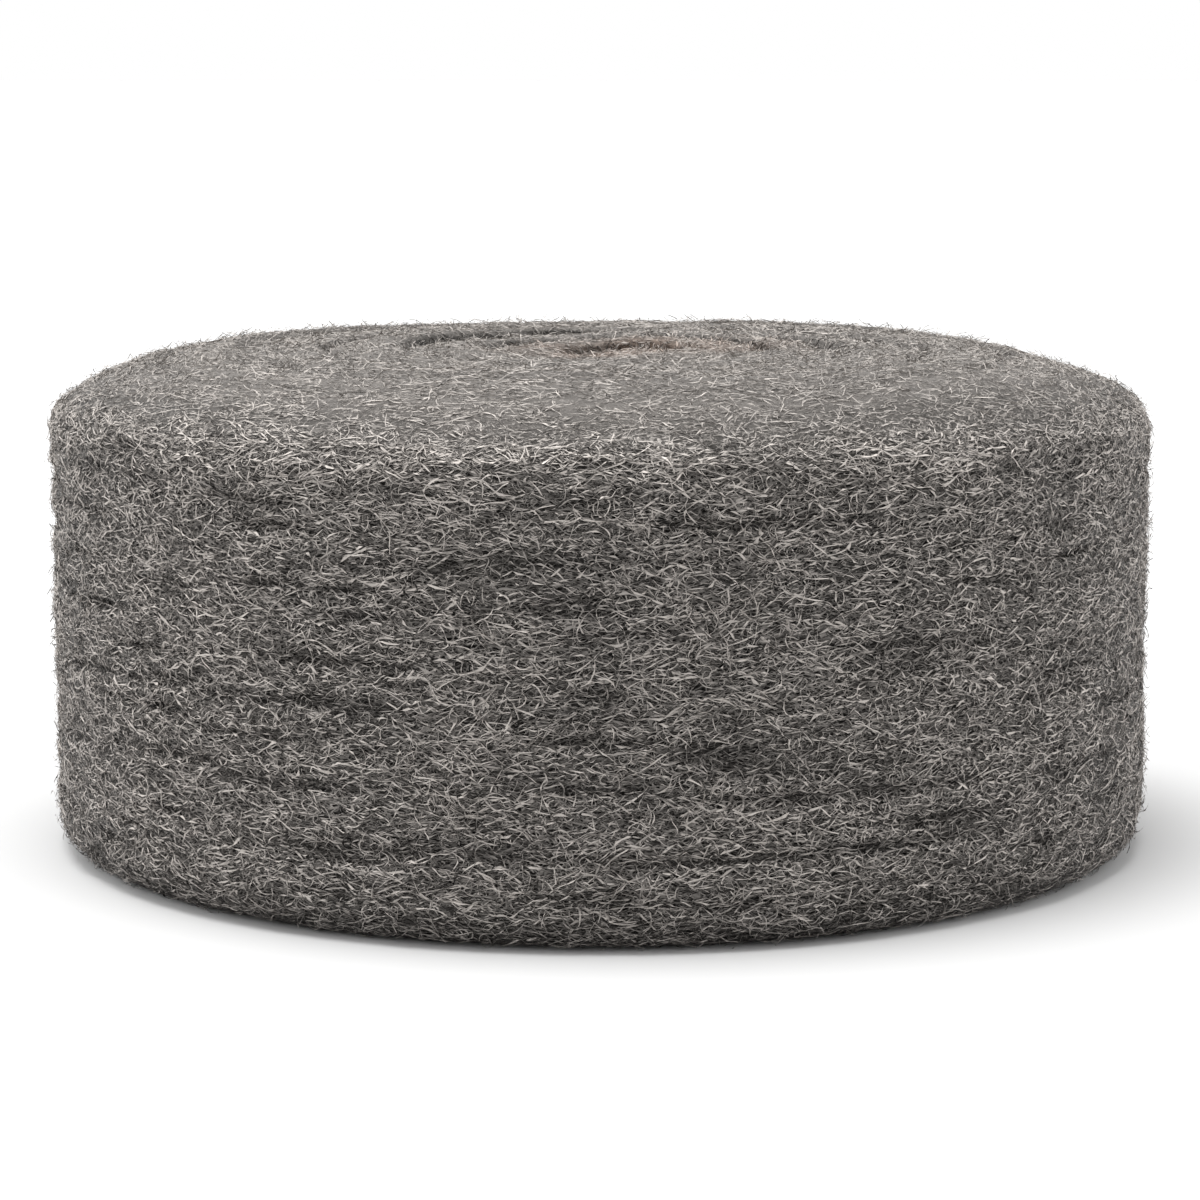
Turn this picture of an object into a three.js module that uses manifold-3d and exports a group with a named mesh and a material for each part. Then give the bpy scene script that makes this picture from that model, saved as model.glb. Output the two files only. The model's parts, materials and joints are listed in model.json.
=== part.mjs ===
// A roll of steel wool: one long ribbon of felted steel fibre, wound on itself and stood on end.
// Millimetres, +Z up. The origin is the middle of the flat end that the roll stands on.
import * as THREE from 'three';
import { mergeVertices } from 'three/addons/utils/BufferGeometryUtils.js';
import Module from 'manifold-3d';

const wasm = await Module();
wasm.setup();

// ---- driving dimensions ----
const RIBBON_WIDTH = 100;           // the roll's height, end to end
const ROLL_RADIUS = 112.4;
const RIBBON_THICKNESS = 16.3;      // one turn, as packed in the roll

// soft edges of the roll
const SHOULDER_REACH = 45;          // how far in from the side the top starts to fall
const SHOULDER_DROP = 13.4;         // how far it has fallen at the side
const FOOT_ROUND = 8;               // the lower edge, pressed under the roll's weight

// the eye, where the ribbon's start is folded on itself
const EYE_RADIUS = 16;
const EYE_DEPTH = 3.5;

// the parting between one turn and the next, on each end of the roll
const PARTING_WIDTH = 5;
const TOP_PARTING_DEPTH = 3;
const FOOT_PARTING_DEPTH = 1.2;

// the ribbon's free end, laid against the turn under it
const TAIL_AZIMUTH = THREE.MathUtils.degToRad(62);
const TAIL_STEP = 1.8;              // what is left of its thickness where it stops
const TAIL_RAMP = THREE.MathUtils.degToRad(14);

// fineness of the faceted surfaces
const SIDES = 64;                   // flats round the roll
const ARC_STEPS = 5;                // steps in each rounded edge
const PARTING_STEP = 13;            // length of each straight step along a parting

const WOOL_COLOUR = 0x8c8681;
const wool = new THREE.MeshStandardMaterial({ color: WOOL_COLOUR, roughness: 0.62, metalness: 0.55 });

// ---- helpers: geometry to solid and back, for joining and cutting ----
function toSolid(geometry) {
  const bare = geometry.clone();
  bare.deleteAttribute('normal');
  bare.deleteAttribute('uv');
  const merged = mergeVertices(bare, 1e-4);
  const vertProperties = new Float32Array(merged.attributes.position.array);
  const triVerts = new Uint32Array(merged.index.array);
  return new wasm.Manifold(new wasm.Mesh({ numProp: 3, vertProperties, triVerts }));
}

function toGeometry(solid) {
  const { vertProperties, triVerts } = solid.getMesh();
  const geometry = new THREE.BufferGeometry();
  geometry.setAttribute('position', new THREE.BufferAttribute(vertProperties, 3));
  geometry.setIndex(new THREE.BufferAttribute(triVerts, 1));
  geometry.computeVertexNormals();
  return geometry;
}

// ---- the wound body: a turned form with soft edges ----
function topHeightAt(radius) {
  const shoulderStart = ROLL_RADIUS - SHOULDER_REACH;
  const reach = Math.max(0, radius - shoulderStart) / SHOULDER_REACH;
  return RIBBON_WIDTH - SHOULDER_DROP * (1 - Math.sqrt(Math.max(0, 1 - reach * reach)));
}

function bodyProfile() {
  const profile = [new THREE.Vector2(0, 0)];
  for (let i = 0; i <= ARC_STEPS; i += 1) {
    const turn = (i / ARC_STEPS) * (Math.PI / 2);
    const radius = ROLL_RADIUS - FOOT_ROUND * (1 - Math.sin(turn));
    profile.push(new THREE.Vector2(radius, FOOT_ROUND * (1 - Math.cos(turn))));
  }
  for (let i = 0; i <= ARC_STEPS; i += 1) {
    const turn = (i / ARC_STEPS) * (Math.PI / 2);
    const radius = ROLL_RADIUS - SHOULDER_REACH * (1 - Math.cos(turn));
    profile.push(new THREE.Vector2(radius, topHeightAt(radius)));
  }
  for (let i = 0; i <= ARC_STEPS; i += 1) {
    const share = i / ARC_STEPS;
    const dish = EYE_DEPTH * (1 - Math.cos(share * Math.PI)) / 2;
    profile.push(new THREE.Vector2(EYE_RADIUS * (1 - share), RIBBON_WIDTH - dish));
  }
  return profile;
}

function bodySolid() {
  const turned = new THREE.LatheGeometry(bodyProfile(), SIDES);
  turned.rotateX(Math.PI / 2);
  return toSolid(turned);
}

// ---- the partings: a V-shaped cut that follows the ribbon from the eye to its free end ----
class WindingLine extends THREE.Curve {
  constructor(heightAt) {
    super();
    this.heightAt = heightAt;
    this.turns = (ROLL_RADIUS - EYE_RADIUS) / RIBBON_THICKNESS;
  }

  getPoint(t, target = new THREE.Vector3()) {
    const radius = EYE_RADIUS + (ROLL_RADIUS - EYE_RADIUS) * t;
    const azimuth = TAIL_AZIMUTH + (1 - t) * this.turns * 2 * Math.PI;
    return target.set(radius * Math.cos(azimuth), radius * Math.sin(azimuth), this.heightAt(radius));
  }
}

function partingSolid(heightAt, depth, outward) {
  const line = new WindingLine(heightAt);
  const half = PARTING_WIDTH / 2;
  const clear = depth * 1.5;        // the cutter stands this far out of the surface
  const spread = half * (depth + clear) / depth;
  // along a level line the section's x runs down the part, and its y runs across the line
  const section = new THREE.Shape([
    new THREE.Vector2(depth * outward, 0),
    new THREE.Vector2(-clear * outward, spread),
    new THREE.Vector2(-clear * outward, -spread),
  ]);
  const steps = Math.round(line.getLength() / PARTING_STEP);
  const cutter = new THREE.ExtrudeGeometry(section, { steps, extrudePath: line, bevelEnabled: false });
  return toSolid(cutter);
}

// ---- the free end: a low step down the side, fading into the turn under it ----
function tailStepSolid() {
  const polar = (radius, azimuth) => new THREE.Vector2(radius * Math.cos(azimuth), radius * Math.sin(azimuth));
  const outside = ROLL_RADIUS + TAIL_STEP;
  const outline = new THREE.Shape([
    polar(ROLL_RADIUS - TAIL_STEP, TAIL_AZIMUTH),
    polar(outside, TAIL_AZIMUTH),
    polar(outside, TAIL_AZIMUTH + TAIL_RAMP),
    polar(ROLL_RADIUS, TAIL_AZIMUTH + TAIL_RAMP),
  ]);
  const depth = RIBBON_WIDTH + 2 * TAIL_STEP;
  const cutter = new THREE.ExtrudeGeometry(outline, { depth, bevelEnabled: false });
  cutter.translate(0, 0, -TAIL_STEP);
  return toSolid(cutter);
}

function woolRoll() {
  const solid = bodySolid()
    .subtract(partingSolid(topHeightAt, TOP_PARTING_DEPTH, 1))
    .subtract(partingSolid(() => 0, FOOT_PARTING_DEPTH, -1))
    .subtract(tailStepSolid());
  const roll = new THREE.Mesh(toGeometry(solid), wool);
  roll.name = 'wool_roll';
  return roll;
}

const group = new THREE.Group();
group.add(woolRoll());

export default group;
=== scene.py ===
# %% [markdown]
# # A roll of steel wool
# Steel wool is a band of very fine steel shavings, felted together and wound into a roll. Nothing on it is
# smooth: the eye reads thousands of curling fibres over dark gaps. This lesson builds that in two layers.
# A dense, creased body gives the roll its shape and its deep, shadowed wool. Over it lie tens of thousands of
# real fibres, each a thin curling strip of mesh, so that the outline is fuzzy and the light breaks up as it
# does on the real thing. Hair curves would be the usual tool, but plain strips are a mesh in any program.

# %% Load the frame
import json
import math
import bpy
import numpy as np
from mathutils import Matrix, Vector

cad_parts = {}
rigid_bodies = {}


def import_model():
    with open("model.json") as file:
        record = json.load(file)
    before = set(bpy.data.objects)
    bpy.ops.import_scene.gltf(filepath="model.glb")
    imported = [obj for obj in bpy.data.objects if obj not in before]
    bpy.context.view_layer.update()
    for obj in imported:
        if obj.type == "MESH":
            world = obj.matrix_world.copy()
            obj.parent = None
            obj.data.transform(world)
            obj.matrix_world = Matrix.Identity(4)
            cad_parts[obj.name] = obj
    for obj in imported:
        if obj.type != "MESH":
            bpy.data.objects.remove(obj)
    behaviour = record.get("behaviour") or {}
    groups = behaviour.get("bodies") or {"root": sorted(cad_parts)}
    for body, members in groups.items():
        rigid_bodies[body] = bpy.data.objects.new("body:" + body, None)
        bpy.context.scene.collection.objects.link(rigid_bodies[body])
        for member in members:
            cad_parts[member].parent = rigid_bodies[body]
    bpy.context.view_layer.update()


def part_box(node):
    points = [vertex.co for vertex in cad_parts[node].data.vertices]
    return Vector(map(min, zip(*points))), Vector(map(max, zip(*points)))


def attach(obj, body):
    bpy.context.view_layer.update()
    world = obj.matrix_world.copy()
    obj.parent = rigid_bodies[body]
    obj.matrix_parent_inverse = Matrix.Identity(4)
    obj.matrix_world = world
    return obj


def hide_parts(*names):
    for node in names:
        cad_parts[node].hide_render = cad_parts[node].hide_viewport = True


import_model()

low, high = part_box("wool_roll")
MM = 0.001
ROLL_RADIUS = (high.x - low.x) / 2 / MM
ROLL_HEIGHT = (high.z - low.z) / MM
print(f"roll: {2 * ROLL_RADIUS:.1f} mm across, {ROLL_HEIGHT:.1f} mm tall")

# %% [markdown]
# ## The outline of the roll
# The side is nearly upright. The lower edge is pressed round by the weight, and the top falls away in a
# wide soft shoulder, because the outer turns get pushed down as the roll is handled. All of it is one line,
# from the middle of the foot, up the side, and in to the eye on top. Every point of the roll's skin is then
# named by two numbers: the way round (an azimuth) and the distance along that line. Turning a plain profile
# would give the shape too, but with those two numbers the creases and the fibres can share it.

# %% The profile line, in millimetres
FOOT_ROUND = 8.0
SHOULDER_REACH = 45.0
SHOULDER_DROP = 13.4
EYE_RADIUS = 16.0
EYE_DEPTH = 3.5
AXIS_GAP = 0.6


def top_height(radius):
    reach = np.clip((radius - (ROLL_RADIUS - SHOULDER_REACH)) / SHOULDER_REACH, 0, 1)
    dish = EYE_DEPTH * (1 + np.cos(np.pi * np.clip(radius / EYE_RADIUS, 0, 1))) / 2
    return ROLL_HEIGHT - SHOULDER_DROP * (1 - np.sqrt(1 - reach**2)) - dish


def profile_line():
    """Radius and height along the skin, evenly spaced enough to interpolate."""
    foot = np.linspace(AXIS_GAP, ROLL_RADIUS - FOOT_ROUND, 60)
    turn = np.linspace(0, np.pi / 2, 20)[1:]
    side = np.linspace(FOOT_ROUND, ROLL_HEIGHT - SHOULDER_DROP, 60)[1:]
    lean = np.linspace(0, np.pi / 2, 60)[1:]
    shoulder = ROLL_RADIUS - SHOULDER_REACH * (1 - np.cos(lean))
    inner = np.linspace(ROLL_RADIUS - SHOULDER_REACH, AXIS_GAP, 60)[1:]
    edge = ROLL_RADIUS - FOOT_ROUND * (1 - np.sin(turn))
    radius = [foot, edge, np.full(len(side), ROLL_RADIUS), shoulder, inner]
    height = [foot * 0, FOOT_ROUND * (1 - np.cos(turn)), side, top_height(shoulder), top_height(inner)]
    return np.concatenate(radius), np.concatenate(height)


line_radius, line_height = profile_line()
line_along = np.concatenate([[0], np.cumsum(np.hypot(np.diff(line_radius), np.diff(line_height)))])
LINE_LENGTH = line_along[-1]
SIDE_START = np.interp(FOOT_ROUND, line_height, line_along)
SIDE_END = SIDE_START + ROLL_HEIGHT - SHOULDER_DROP - FOOT_ROUND
print(f"profile line: {LINE_LENGTH:.0f} mm from foot to eye")
print(f"the side lies from {SIDE_START:.0f} to {SIDE_END:.0f} mm along it")

# %% [markdown]
# ## Soft noise
# Creases need a smooth random surface that closes on itself round the roll. A small grid of random numbers,
# read back with a smooth blend between its cells, is enough, and a seed makes it the same every time.

# %% A smooth random field over two numbers
def soft_noise(u, v, columns, rows, seed):
    """Smooth noise from -1 to 1. u goes once round in 0..1 and wraps; v goes 0..1 and doesn't."""
    grid = np.random.default_rng(seed).uniform(-1, 1, (rows + 2, columns))
    x, y = (u % 1) * columns, np.clip(v, 0, 1) * rows
    i, j = np.floor(x).astype(int), np.floor(y).astype(int)
    fx, fy = x - i, y - j
    fx, fy = fx * fx * (3 - 2 * fx), fy * fy * (3 - 2 * fy)
    i0, i1, j0 = i % columns, (i + 1) % columns, np.clip(j, 0, rows)
    lower = grid[j0, i0] * (1 - fx) + grid[j0, i1] * fx
    upper = grid[j0 + 1, i0] * (1 - fx) + grid[j0 + 1, i1] * fx
    return lower * (1 - fy) + upper * fy


def smooth_step(x, start, end):
    """0 up to the start, 1 from the end on, and a soft S between them."""
    t = np.clip((x - start) / (end - start), 0, 1)
    return t * t * (3 - 2 * t)


once_round = soft_noise(np.linspace(0, 1, 500), 0.5, 12, 12, 1)
print(f"noise once round: {once_round.min():.2f} to {once_round.max():.2f}")
print(f"it starts at {once_round[0]:.2f} and comes back to {once_round[-1]:.2f}")

# %% [markdown]
# ## The shape of the wound ribbon
# On each end of the roll a parting runs between one turn and the next, from the eye out to the ribbon's free
# end. The roll is wound less tightly round the eye and at the back, so the partings are most open there, and
# they close up towards the rim and the front. On the side the wool pulls into long flat creases, and the
# ribbon's free end is a low soft step. Each is a height in millimetres to add to the plain profile: above
# zero is proud of it, below zero is a hollow. Sculpting by hand would do, but a height can be read anywhere.

# %% Partings on the ends
RIBBON_THICKNESS = 16.3
TAIL_AZIMUTH = math.radians(62)
TAIL_RAMP = math.radians(14)
TAIL_STEP = 1.6
FADE_INWARD = 1.5
FADE_OUTWARD = 0.8


def partings(azimuth, radius):
    """How far across its turn a point of an end lies, and how close to a parting: 1 on it, 0 off it."""
    u, v = azimuth / (2 * np.pi), radius / ROLL_RADIUS
    turned = (azimuth - TAIL_AZIMUTH) % (2 * np.pi) / (2 * np.pi)
    wander = 1.8 * soft_noise(u, v, 9, 7, 11)
    across = ((ROLL_RADIUS - radius + wander) / RIBBON_THICKNESS - turned) % 1
    inward, outward = across * RIBBON_THICKNESS, (1 - across) * RIBBON_THICKNESS
    open_here = np.clip(0.75 + 0.8 * soft_noise(u, v, 15, 8, 464), 0.1, 1.3)
    off_it = np.minimum((inward / FADE_INWARD) ** 2, (outward / FADE_OUTWARD) ** 2)
    return across, open_here * np.exp(-off_it)


def looseness(azimuth, radius):
    """How much the turns stand apart: most at the back and round the eye, hardly at all at the rim."""
    near_eye = 1 - smooth_step(radius, 0.45 * ROLL_RADIUS, 0.6 * ROLL_RADIUS)
    inside = 1 - smooth_step(radius, 0.75 * ROLL_RADIUS, 0.95 * ROLL_RADIUS)
    in_eye = 1 - smooth_step(radius, 6, 20)
    at_back = 0.62 + 0.38 * np.sin(azimuth)
    return (0.15 + 0.3 * inside + 0.55 * near_eye - 0.4 * in_eye) * at_back


def end_relief(azimuth, radius):
    """Each turn is crowned, and its inner edge stands a little proud of the turn inside it."""
    across, closeness = partings(azimuth, radius)
    crown = np.sin(np.pi * across) ** 0.7 - 0.5
    return looseness(azimuth, radius) * (crown + 2.4 * (across - 0.5) - 0.9 * closeness) + 0.2 * crown


BACK = math.radians(90)
FRONT = math.radians(270)
print(f"the ribbon goes round {ROLL_RADIUS / RIBBON_THICKNESS:.1f} times")
for place, azimuth in (("back", BACK), ("front", FRONT)):
    print(f"looseness half way in at the {place}: {looseness(azimuth, ROLL_RADIUS / 2):.2f}")

# %% Creases on the side
SIDE_SUNK = 0.4         # the whole side lies in by this much, to leave room for the fibres over it


def flat_hollows(u, v, columns, rows, seed):
    """Short hollows, much longer than they are tall: 1 in a hollow, 0 off it."""
    bent = u + 0.03 * soft_noise(u, v, 9, 12, seed)
    return smooth_step(-soft_noise(bent, v, columns, rows, seed + 1), 0.2, 0.75)


def side_relief(azimuth, along):
    """Creases, broad lumps and the step of the free end."""
    u, v = azimuth / (2 * np.pi), along / LINE_LENGTH
    hollows = 0.2 * flat_hollows(u, v, 22, 84, 30) + 0.9 * flat_hollows(u, v, 30, 144, 41)
    lump = 0.25 * soft_noise(u, v, 15, 20, 3) + 0.2 * soft_noise(u, v, 60, 110, 7)
    ragged = math.radians(1.6) * soft_noise(0 * u, v, 1, 40, 9)
    past_end = (azimuth - TAIL_AZIMUTH - ragged + np.pi) % (2 * np.pi) - np.pi
    step = smooth_step(past_end, 0, math.radians(0.9)) * np.clip(1 - past_end / TAIL_RAMP, 0, 1)
    return lump - hollows - TAIL_STEP * step - SIDE_SUNK


# %% The whole relief
def skin_height(azimuth, along):
    """How far the skin stands out from the plain profile: the ends and the side, faded into each other."""
    radius = np.interp(along, line_along, line_radius)
    u, v = azimuth / (2 * np.pi), radius / ROLL_RADIUS
    on_top = smooth_step(along, SIDE_END - 6, SIDE_END + 26)
    on_foot = 1 - smooth_step(along, SIDE_START - 14, SIDE_START - 3)
    ends = end_relief(azimuth, radius)
    inner = smooth_step(radius, 4, 14)
    bunch = 0.3 * soft_noise(u, v, 46, 44, 5) + 0.8 * inner * soft_noise(u, v, 7, 7, 6)
    top = ends * inner + bunch
    foot = np.minimum(0, 0.4 * ends - 0.1)
    side = side_relief(azimuth, along)
    return on_top * top + (1 - on_top) * (1 - on_foot) * side + on_foot * foot


half_way_up = (SIDE_START + SIDE_END) / 2
ring = skin_height(np.linspace(0, 2 * np.pi, 500), np.full(500, half_way_up))
print(f"half way up the side the skin lies {-ring.max():.1f} to {-ring.min():.1f} mm in")

# %% [markdown]
# ## The body of the roll
# The dense part of the wool is one closed form. Here it is a grid wrapped round the profile line and moved
# in and out by the height above. A displacement modifier could move it too, but then the fibres couldn't be
# laid on the moved skin. The rows are closest on the side and top, and the foot, which nobody sees, gets few.

# %% Build the body's grid
AROUND = 360
foot_edge = SIDE_START - 12
shoulder_end = SIDE_END + 50
rows = np.concatenate([
    np.linspace(0, foot_edge, 8, endpoint=False),
    np.linspace(foot_edge, SIDE_END, 96, endpoint=False),
    np.linspace(SIDE_END, shoulder_end, 26, endpoint=False),
    np.linspace(shoulder_end, LINE_LENGTH, 76),
])
columns = np.linspace(0, 2 * np.pi, AROUND, endpoint=False)


def body_skin():
    """Position, outward direction and height of the relief at each point of the grid."""
    azimuth, along = np.meshgrid(columns, rows)
    radius = np.interp(along, line_along, line_radius)
    height = np.interp(along, line_along, line_height)
    slope_r = np.interp(along, line_along, np.gradient(line_radius, line_along))
    slope_z = np.interp(along, line_along, np.gradient(line_height, line_along))
    slope = np.hypot(slope_r, slope_z)
    lift = skin_height(azimuth, along)
    radius = np.maximum(radius + slope_z / slope * lift, AXIS_GAP / 2)
    height = np.maximum(height - slope_r / slope * lift, 0.05)
    points = np.stack([radius * np.cos(azimuth), radius * np.sin(azimuth), height], axis=-1)
    across = np.roll(points, -1, axis=1) - np.roll(points, 1, axis=1)
    outward = np.cross(across, np.gradient(points, axis=0))
    return points, outward / np.linalg.norm(outward, axis=-1, keepdims=True), lift


skin_grid, normal_grid, lift_grid = body_skin()
print(f"body grid: {len(rows)} rows of {AROUND}")
print(f"skin moves {lift_grid.min():.1f} to {lift_grid.max():.1f} mm")

# %% Painted shade at each point of the grid
height_grid = np.interp(rows, line_along, line_height)[:, None] + 0 * lift_grid
on_end = smooth_step(rows, SIDE_END - 4, SIDE_END + 30)[:, None] + 0 * lift_grid
# painted shade: the side is darker low down, towards the foot
shade_of_foot = 0.5 * (1 - smooth_step(height_grid, 1, 16)) * (1 - on_end)
radius_grid = np.hypot(skin_grid[..., 0], skin_grid[..., 1])
azimuth_grid = columns[None, :] + 0 * radius_grid
across_grid, closeness_grid = partings(azimuth_grid, radius_grid)
# painted shade on the ends: dark along the partings where the turns stand apart, and a little at the edges of
# every turn
shade_at_turn_edge = 0.2 * (1 - np.sin(np.pi * across_grid))
shade_of_parting = on_end * (looseness(azimuth_grid, radius_grid) * closeness_grid + shade_at_turn_edge)
# painted shade in the creases: the deeper the side's skin lies in, the darker it is painted
painted_shade_grid = 0.8 * smooth_step(-lift_grid, 0.5, 1.8) * (1 - on_end)
painted_shade_grid = np.clip(np.maximum(painted_shade_grid, shade_of_foot) + shade_of_parting, 0, 1)
print(f"{np.mean(painted_shade_grid > 0.5):.0%} of the points lie in a deep hollow")


# %% Turn the grid into a closed mesh
def mesh_piece(name, vertices, faces):
    """A new object, with its mesh, in the scene."""
    mesh = bpy.data.meshes.new(name)
    mesh.from_pydata(vertices.tolist(), [], faces)
    mesh.shade_smooth()
    piece = bpy.data.objects.new(name, mesh)
    bpy.context.scene.collection.objects.link(piece)
    return piece


def add_values(piece, name, values):
    """One number for each vertex, for the shaders to read."""
    layer = piece.data.attributes.new(name, "FLOAT", "POINT")
    layer.data.foreach_set("value", np.asarray(values, np.float32).ravel())


def body_faces():
    """Four-sided faces all the way round, and one flat cap at each end of the line."""
    row, column = np.meshgrid(np.arange(len(rows) - 1), np.arange(AROUND), indexing="ij")
    beside = (column + 1) % AROUND
    corners = [row * AROUND + column, row * AROUND + beside,
               (row + 1) * AROUND + beside, (row + 1) * AROUND + column]
    last = (len(rows) - 1) * AROUND
    caps = [list(range(AROUND - 1, -1, -1)), [last + i for i in range(AROUND)]]
    return np.stack(corners, axis=-1).reshape(-1, 4).tolist() + caps


body = mesh_piece("wound_wool", skin_grid.reshape(-1, 3) * MM, body_faces())
print(f"body: {len(body.data.polygons)} faces")

# %% [markdown]
# ## A touch of rust
# Damp gets into the eye first. There the wool has a faint brown stain with ragged edges, a little to one
# side. A painted mask would do for the body, but a stain worked out from the place reaches the fibres too.

# %% Where the wool has rusted
def rust_at(x, y, z):
    """How rusty the wool is: a soft patchy stain round the eye of the top end."""
    reach = np.hypot((x - 10) / 33, y / 26)
    patchy = soft_noise(np.arctan2(y, x) / (2 * np.pi), np.hypot(x, y) / ROLL_RADIUS, 15, 20, 8)
    on_top = smooth_step(z, ROLL_HEIGHT - 9, ROLL_HEIGHT - 6)
    return smooth_step(1.15 - reach + 0.25 * patchy, 0, 0.7) * on_top


rust_grid = rust_at(*np.moveaxis(skin_grid, -1, 0))
# The painted shade goes to the body's shader as a number on each vertex; the fibres read it from the grid.
add_values(body, "hollow", painted_shade_grid)
# painted light: the ends of the roll are marked, so that their tone can be painted brighter
add_values(body, "painted_end_light", on_end)
add_values(body, "rust", rust_grid)
print(f"rust: up to {rust_grid.max():.2f}, out to {radius_grid[rust_grid > 0].max():.0f} mm from the axis")

# %% [markdown]
# ## A small language for shaders
# Node trees are easier to read as sums. Wrapping a socket in a class with operators turns `1 - a * b` into
# Math nodes, and one method makes any other node from its type, its settings and its inputs. Nodes can be
# drawn and joined by hand instead, but a tree of this size would fill the screen.

# %% The socket wrapper
class Wire:
    """A value on its way through a shader."""

    tree = None

    def __init__(self, socket):
        self.socket = socket

    @classmethod
    def node(cls, kind, settings=None, inputs=None, output=0):
        made = cls.tree.nodes.new(kind)
        for name, value in (settings or {}).items():
            setattr(made, name, value)
        for name, value in (inputs or {}).items():
            if isinstance(value, Wire):
                cls.tree.links.new(value.socket, made.inputs[name])
            else:
                made.inputs[name].default_value = value
        return cls(made.outputs[output])

    def math(self, operation, first, second):
        return Wire.node("ShaderNodeMath", {"operation": operation}, {0: first, 1: second})

    def __add__(self, other):
        return self.math("ADD", self, other)

    def __mul__(self, other):
        return self.math("MULTIPLY", self, other)

    def __sub__(self, other):
        return self.math("SUBTRACT", self, other)

    def __rsub__(self, other):
        return self.math("SUBTRACT", other, self)

    def __abs__(self):
        return self.math("ABSOLUTE", self, 0.0)

    def __or__(self, other):
        return self.math("MAXIMUM", self, other)

    __radd__ = __add__
    __rmul__ = __mul__
    __ror__ = __or__

    def ramp(self, start, end, low=0.0, high=1.0):
        """A soft S from low, at the start, to high, at the end."""
        inputs = {"Value": self, "From Min": start, "From Max": end, "To Min": low, "To Max": high}
        return Wire.node("ShaderNodeMapRange", {"interpolation_type": "SMOOTHSTEP"}, inputs)

    def vector(self, operation, other):
        return Wire.node("ShaderNodeVectorMath", {"operation": operation}, {0: self, 1: other})


# %% Helpers for materials
def blend(share, first, second):
    """The first colour where share is 0, the second where it is 1."""
    return Wire.node("ShaderNodeMix", {"data_type": "RGBA"}, {0: share, 6: first, 7: second}, 2)


def point_value(name):
    """A number stored on the mesh's vertices."""
    return Wire.node("ShaderNodeAttribute", {"attribute_name": name}, output=2)


def new_material(name):
    """An empty material, ready for wires."""
    material = bpy.data.materials.new(name)
    material.use_nodes = True
    Wire.tree = material.node_tree
    Wire.tree.nodes.clear()
    return material


def surface(base_color, **settings):
    """Ends a material with one Principled shader."""
    shader = Wire.node("ShaderNodeBsdfPrincipled", {}, {"Base Color": base_color, **settings})
    end = Wire.tree.nodes.new("ShaderNodeOutputMaterial")
    Wire.tree.links.new(shader.socket, end.inputs["Surface"])
    print(f"a material of {len(Wire.tree.nodes)} nodes")


# %% [markdown]
# ## The deep wool
# Between the loose fibres one looks into the mat: more fibres over near-black gaps. The darkness there is
# painted shade: each deeper layer is painted dimmer than the one over it, and the gaps are painted
# near-black.
# A contour line of a noise is thin, curling and endless, just like a fibre, so each layer of deep fibres is
# the set of places where a noise crosses one level. The walls between the cells of a bent Voronoi pattern
# give the short fibres that cross them. Squeezing both in height makes the fibres run round the roll.
# Modelled strips would look better still, but there would have to be millions.

# %% Layers of deep fibres
STEEL = (0.5, 0.467, 0.438, 1)
# the colour of the gaps is painted shade, plain and with a rusty tint where rust is
GAP_SHADE = (0.007, 0.0065, 0.006, 1)
RUST = (0.5, 0.42, 0.37, 1)
RUST_IN_GAP_SHADE = (0.03, 0.018, 0.012, 1)


def squeezed(place, flatness, offset):
    """The same place, moved by the offset and stretched in height, so that patterns there come out flat."""
    inputs = {"Vector": place, "Location": offset, "Scale": (1, 1, flatness)}
    return Wire.node("ShaderNodeMapping", {}, inputs)


def long_fibres(place, size, flatness, width, offset):
    """1 on the fibres of one layer, 0 between them."""
    field = Wire.node("ShaderNodeTexNoise", {}, {"Vector": squeezed(place, flatness, offset),
                                                "Scale": 1 / size, "Detail": 1.0, "Roughness": 0.4})
    return abs(field - 0.5).ramp(width * 0.45, width, 1.0, 0.0)


def short_fibres(place, size, flatness, width, offset):
    """The same for short fibres that cross each other."""
    walls = Wire.node("ShaderNodeTexVoronoi", {"feature": "DISTANCE_TO_EDGE"},
                      {"Vector": squeezed(place, flatness, offset), "Scale": 1 / size})
    return walls.ramp(width * 0.4, width, 1.0, 0.0)


print(f"steel reflects {STEEL[0] / GAP_SHADE[0]:.0f} times as much as the gaps under it")

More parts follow.
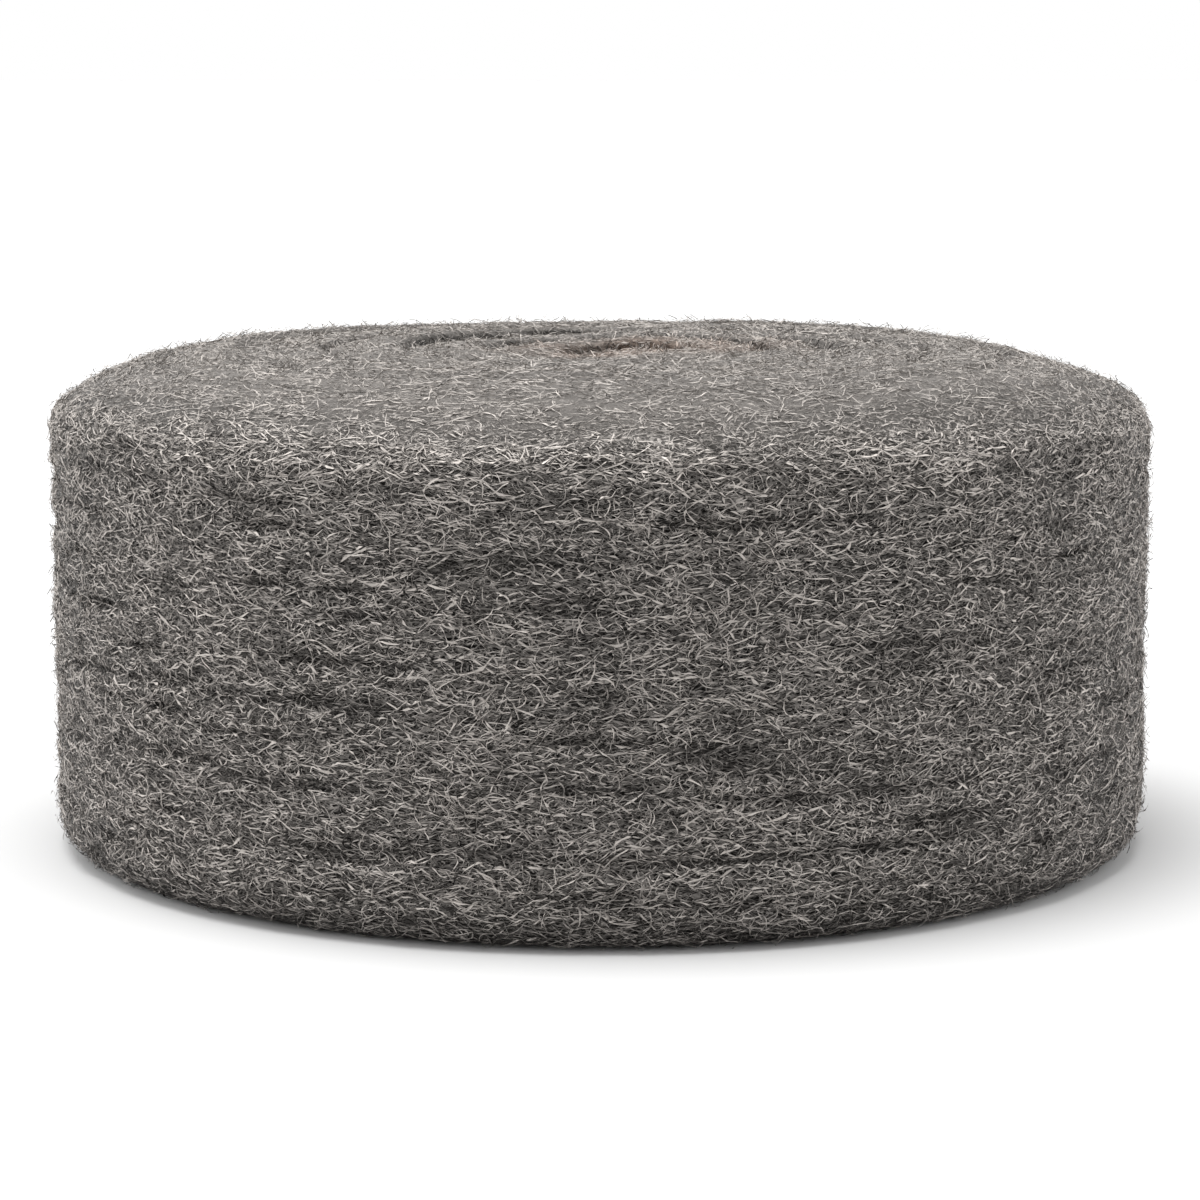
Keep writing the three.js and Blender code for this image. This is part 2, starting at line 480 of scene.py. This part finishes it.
# %% Material of the body
def deep_wool():
    """Four layers of fibres, each painted brighter than the one under it, over gaps painted dark as shade."""
    material = new_material("deep_wool")
    spot = Wire.node("ShaderNodeTexCoord", output=3).vector("MULTIPLY", (1 / MM, 1 / MM, 1 / MM))
    bend = Wire.node("ShaderNodeTexNoise", {}, {"Vector": spot, "Scale": 0.55, "Detail": 1.0}, 1)
    spot = spot.vector("ADD", bend.vector("MULTIPLY", (2.4, 2.4, 1.6)))
    deepest = short_fibres(spot, 1.4, 2.8, 0.15, (0, 0, 0))
    lower = long_fibres(spot, 1.8, 3.0, 0.04, (31, 17, 5))
    middle = short_fibres(spot, 2.0, 3.2, 0.12, (11, 71, 19))
    upper = long_fibres(spot, 2.5, 3.4, 0.03, (71, 43, 11))
    glint = Wire.node("ShaderNodeTexNoise", {}, {"Vector": spot, "Scale": 0.8, "Detail": 2.0})
    # painted shade: the deeper the layer, the darker its tone
    tone = deepest * 0.06 | lower * 0.16 | middle * 0.34 | upper * 0.62
    # a noise varies the brightness along the fibres as painted glints, and the painted shade of creases,
    # partings and foot darkens it
    tone = tone * glint.ramp(0.25, 0.75, 0.6, 1.15) * (1 - 0.7 * point_value("hollow"))
    # painted light: on the ends the tone is lifted to a brighter floor, so the top reads lighter and flatter,
    # except where painted shade lies
    tone = tone | 0.4 * point_value("painted_end_light") * (1 - point_value("hollow"))
    rust = point_value("rust")
    colour = blend(tone, blend(rust, GAP_SHADE, RUST_IN_GAP_SHADE), blend(rust, STEEL, RUST))
    height = deepest * 0.3 | lower * 0.5 | middle * 0.75 | upper
    bump = Wire.node("ShaderNodeBump", {}, {"Height": height, "Strength": 0.9, "Distance": 0.3 * MM})
    surface(colour, Metallic=1.0, Roughness=0.6, Normal=bump)
    return material


body.data.materials.append(deep_wool())
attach(body, "root")
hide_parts("wool_roll")

# %% [markdown]
# ## The loose fibres
# A steel wool fibre is a shaving: flat, twisted, about a tenth of a millimetre wide and gently curled. Each
# one here is a strip that walks over the skin. Its heading swings to and fro, its height rises out of the mat
# and dives back or ends free, and the strip twists as it goes, so that it catches the light in places from
# any side. The strip's points lie to the left and right of its path in turn, so each step costs only one
# triangle. A closed, solid strip would be truer, but several times as heavy and no different to look at.

# %% Read the skin at any place
def skin_at(azimuth, along):
    """Position, outward direction and painted shade of the creased skin, read from the body's grid."""
    row = np.interp(along, rows, np.arange(len(rows)))
    column = azimuth % (2 * np.pi) / (2 * np.pi) * AROUND
    r0 = np.clip(np.floor(row).astype(int), 0, len(rows) - 2)
    c0 = np.floor(column).astype(int)
    fr, fc = (row - r0)[..., None], (column - c0)[..., None]
    c0, c1 = c0 % AROUND, (c0 + 1) % AROUND

    def read(grid):
        lower = grid[r0, c0] * (1 - fc) + grid[r0, c1] * fc
        upper = grid[r0 + 1, c0] * (1 - fc) + grid[r0 + 1, c1] * fc
        return lower * (1 - fr) + upper * fr

    outward = read(normal_grid)
    outward = outward / np.linalg.norm(outward, axis=-1, keepdims=True)
    return read(skin_grid), outward, read(painted_shade_grid[..., None])[..., 0]


place, outward, hollow = skin_at(np.array([FRONT]), np.array([SIDE_END]))
print(f"top of the side, at the front: {np.round(place[0], 1)} mm, facing {np.round(outward[0], 2)}")

# %% The walk of each fibre over the skin
def wander_over_skin(rng, count, steps, start, end, length, stray, loops):
    """Azimuth and distance along the profile line, at each point of each fibre's path."""
    def draw(low, high):
        return rng.uniform(low, high, (count, 1))

    # starting places are even by area, so wider parts of the roll get more
    places = np.linspace(start, end, 400)
    weight = np.cumsum(np.interp(places, line_along, line_radius))
    along = np.interp(rng.uniform(0, weight[-1], count), weight, places)[:, None]
    azimuth = draw(0, 2 * np.pi)
    total = draw(*length)
    walked = np.linspace(0, 1, steps + 2) * total
    wild = np.where(draw(0, 1) < 0.08, 5.0, 1.0)
    heading = rng.normal(0, stray, (count, 1)) * wild + np.where(draw(0, 1) < 0.5, 0, np.pi)
    heading = heading + draw(0.1, 0.48) * np.sin(2 * np.pi * walked / draw(6, 13) + draw(0, 6.3))
    heading = heading + draw(0.15, 0.5) * np.sin(2 * np.pi * walked / draw(3.0, 5) + draw(0, 6.3))
    curl = np.where(draw(0, 1) < loops, 1.0, 0.1) / draw(1.1, 2.8)
    heading = heading + curl * np.where(draw(0, 1) < 0.5, -1, 1) * walked
    middle = (heading[:, 1:] + heading[:, :-1]) / 2 + rng.normal(0, 0.2, (count, steps + 1))
    step = total / (steps + 1)
    climb = np.cumsum(np.sin(middle) * step, axis=1)
    along = np.clip(along + np.pad(climb, ((0, 0), (1, 0))), AXIS_GAP, LINE_LENGTH - AXIS_GAP)
    radius = np.maximum(np.interp((along[:, 1:] + along[:, :-1]) / 2, line_along, line_radius), 4)
    turned = np.cumsum(np.cos(middle) * step / radius, axis=1)
    return azimuth + np.pad(turned, ((0, 0), (1, 0))), along


trial = wander_over_skin(np.random.default_rng(0), 200, 10, SIDE_START, SIDE_END, (6, 12), 0.08, 0.08)
print(f"on trial, a fibre climbs or falls {np.mean(np.ptp(trial[1], axis=1)):.1f} mm on average")

# %% A flat map for each fibre
def fibre_map(piece, count, steps):
    """A flat map with a small cell of its own for each fibre."""
    cells = math.ceil(math.sqrt(count))
    fibre, point = np.divmod(np.arange(count * (steps + 2)), steps + 2)
    u = (fibre % cells + 0.1 + 0.8 * point / (steps + 1)) / cells
    v = (fibre // cells + 0.3 + 0.4 * (point % 2)) / cells
    corners = np.empty(len(piece.data.loops), int)
    piece.data.loops.foreach_get("vertex_index", corners)
    layer = piece.data.uv_layers.new(name="OFBake")
    layer.uv.foreach_set("vector", np.stack([u, v], axis=-1)[corners].astype(np.float32).ravel())


# %% Grow a family of fibres
MOST_TRIANGLES = 169000
DEEPEST = -0.3          # where a fibre starts, under the skin
LOWEST = 0.06           # no fibre goes nearer to the floor than this


def grow_fibres(name, steps, start, end, seed, length=(6, 12), stray=0.08, loops=0.08,
                proud=(0.1, 0.6), free=0.1, width=(0.075, 0.14), shade=(1.08, 0.3)):
    """Fibres that start at random places on the skin between two distances along the profile line."""
    rng = np.random.default_rng(seed)
    count = MOST_TRIANGLES // steps

    def draw(low, high):
        return rng.uniform(low, high, (count, 1))

    azimuth, along = wander_over_skin(rng, count, steps, start, end, length, stray, loops)
    point, outward, hollow = skin_at(azimuth, along)
    t = np.linspace(0, 1, steps + 2)[None, :]
    rise = draw(*proud)
    buried = DEEPEST + (rise - DEEPEST) * np.sin(np.pi * t) ** 0.6
    loose = DEEPEST + (rise * 1.6 - DEEPEST) * t ** draw(0.8, 1.6)
    lift = np.where(draw(0, 1) < free, loose, buried) + 0.1 * np.sin(t * draw(6, 14) + draw(0, 6.3))
    path = point + outward * lift[..., None]
    forward = np.gradient(path, axis=1)
    forward = forward / np.linalg.norm(forward, axis=-1, keepdims=True)
    side = np.cross(forward, outward)
    side = side / np.linalg.norm(side, axis=-1, keepdims=True)
    twist = (draw(-0.8, 0.8) + draw(-1.3, 1.3) * t)[..., None]
    spread = np.cos(twist) * side + np.sin(twist) * np.cross(side, forward)
    left_right = np.where(np.arange(steps + 2) % 2, 0.5, -0.5)
    taper = np.minimum(1, 5 * np.minimum(t, 1 - t) + 0.3)
    vertices = path + spread * (draw(*width) * taper * left_right)[..., None]
    vertices[..., 2] = np.maximum(vertices[..., 2], LOWEST)
    first = np.arange(count)[:, None] * (steps + 2) + np.arange(steps)
    odd = np.arange(steps) % 2
    faces = np.stack([first + odd, first + 1 - odd, first + 2], axis=-1).reshape(-1, 3)
    piece = mesh_piece(name, vertices.reshape(-1, 3) * MM, faces.tolist())
    tone = np.clip(rng.normal(*shade, (count, 1)), 0.1, 1.2)
    # painted shade: each fibre is darker towards its ends, where it dives into the mat, and darker over the
    # skin's painted shade
    tone = tone * (0.6 + 0.4 * np.sin(np.pi * t) ** 0.5) * (1 - 0.6 * hollow)
    add_values(piece, "tone", tone)
    add_values(piece, "rust", rust_at(*np.moveaxis(path, -1, 0)) * draw(0, 1))
    fibre_map(piece, count, steps)
    print(f"{name}: {count} fibres, {len(faces)} triangles")
    return piece


# %% Material of the loose fibres
def bright_fibre():
    """Plain steel, as bright as the tone that each fibre was given; the tone mixes a random tone with painted
    shade.
    """
    material = new_material("bright_fibre")
    steel = blend(point_value("rust"), STEEL, RUST)
    surface(blend(point_value("tone"), GAP_SHADE, steel), Metallic=1.0, Roughness=0.68)
    return material


# %% The five families
ON_SIDE = (SIDE_START - 8, SIDE_END + 6)
ON_TOP = (SIDE_END, LINE_LENGTH - 2)
families = [
    # the under fibres get a dim tone: painted shade for lying low in the mat
    grow_fibres("side_fibres", 10, *ON_SIDE, 21, proud=(0.0, 0.4), shade=(0.25, 0.2)),
    grow_fibres("side_fibres_over", 10, *ON_SIDE, 22),
    grow_fibres("side_curls", 14, *ON_SIDE, 25, length=(4.5, 9), stray=0.22, loops=0.4, free=0.25,
                proud=(0.2, 1.0)),
    grow_fibres("top_fibres", 12, *ON_TOP, 23, stray=0.4, proud=(0.0, 0.45), shade=(0.87, 0.07)),
    grow_fibres("fuzz_fibres", 12, SIDE_START - 6, LINE_LENGTH, 24, length=(3, 7), stray=0.55, loops=0.5,
                free=0.8, proud=(0.3, 1.3), width=(0.1, 0.15), shade=(0.8, 0.12)),
]
fibre = bright_fibre()
for family in families:
    family.data.materials.append(fibre)
    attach(family, "root")

# %% [markdown]
# ## The studio
# The roll stands on a pale floor in a white room. Most light falls from a very wide soft lamp overhead, so
# the top is bright and the side is half in its own shade. A soft box to the left and one to the right light
# the flanks, and the white backdrop fills in the rest. Area lamps could do it, but a world is smoother.

# %% Floor
FLOOR_REACH = 30
FLOOR_GREY = 0.53


def floor():
    """A wide flat floor, level with the roll's foot."""
    near, far = -FLOOR_REACH, FLOOR_REACH
    corners = np.array([(near, near, 0), (far, near, 0), (far, far, 0), (near, far, 0)], float)
    piece = mesh_piece("floor", corners, [(0, 1, 2, 3)])
    material = new_material("pale_floor")
    surface((FLOOR_GREY, FLOOR_GREY, FLOOR_GREY, 1), Roughness=0.7)
    piece.data.materials.append(material)


floor()
print(f"floor: {2 * FLOOR_REACH} m across")

# %% Light
def overhead_lamp(strength, spread):
    """A sun with a wide disc, so that its shadows are soft. The spread is in degrees."""
    light = bpy.data.lights.new("overhead", "SUN")
    light.energy = strength
    light.angle = math.radians(spread)
    lamp = bpy.data.objects.new("overhead", light)
    lamp.location = (0, 0, 1)
    lamp.rotation_euler = (0, math.radians(-5), 0)
    bpy.context.scene.collection.objects.link(lamp)


def white_room():
    """A world that is white low down, as a backdrop is, with a wide soft box to the left and the right."""
    world = bpy.data.worlds.new("studio")
    world.use_nodes = True
    bpy.context.scene.world = world
    Wire.tree = world.node_tree
    direction = Wire.node("ShaderNodeTexCoord")
    across = Wire.node("ShaderNodeSeparateXYZ", {}, {"Vector": direction}, 0)
    up = Wire.node("ShaderNodeSeparateXYZ", {}, {"Vector": direction}, 2)
    backdrop = up.ramp(0.2, 0.45, 1.0, 0.0)
    strength = backdrop + (1 - backdrop) * abs(across - 0.06).ramp(0.1, 0.9, 0.05, 3.2)
    background = Wire.tree.nodes["Background"]
    background.inputs["Color"].default_value = (1, 1, 1, 1)
    Wire.tree.links.new(strength.socket, background.inputs["Strength"])


overhead_lamp(3.5, 32)
white_room()
print(f"world: {len(Wire.tree.nodes)} nodes")

# %% [markdown]
# ## The camera
# A long lens, a little above the roll, keeps the side upright and shows the top as a thin ellipse. A short
# lens close by would bend the side inwards at the foot.

# %% Camera
DISTANCE = 6.6 * ROLL_RADIUS * MM
ELEVATION = math.radians(8.59)
AIM_HEIGHT = 0.0477
aim = Vector((0, 0, AIM_HEIGHT))
camera = bpy.data.objects.new("camera", bpy.data.cameras.new("camera"))
camera.data.sensor_width = 36
camera.data.lens = 106.8
camera.data.clip_start = 0.01
camera.location = aim + Vector((0, -DISTANCE * math.cos(ELEVATION), DISTANCE * math.sin(ELEVATION)))
camera.rotation_euler = (aim - camera.location).to_track_quat("-Z", "Y").to_euler()
bpy.context.scene.collection.objects.link(camera)
bpy.context.scene.camera = camera
bpy.context.scene.view_settings.view_transform = "Standard"
print(f"camera: {DISTANCE * 1000:.0f} mm away, lens {camera.data.lens:.1f} mm")
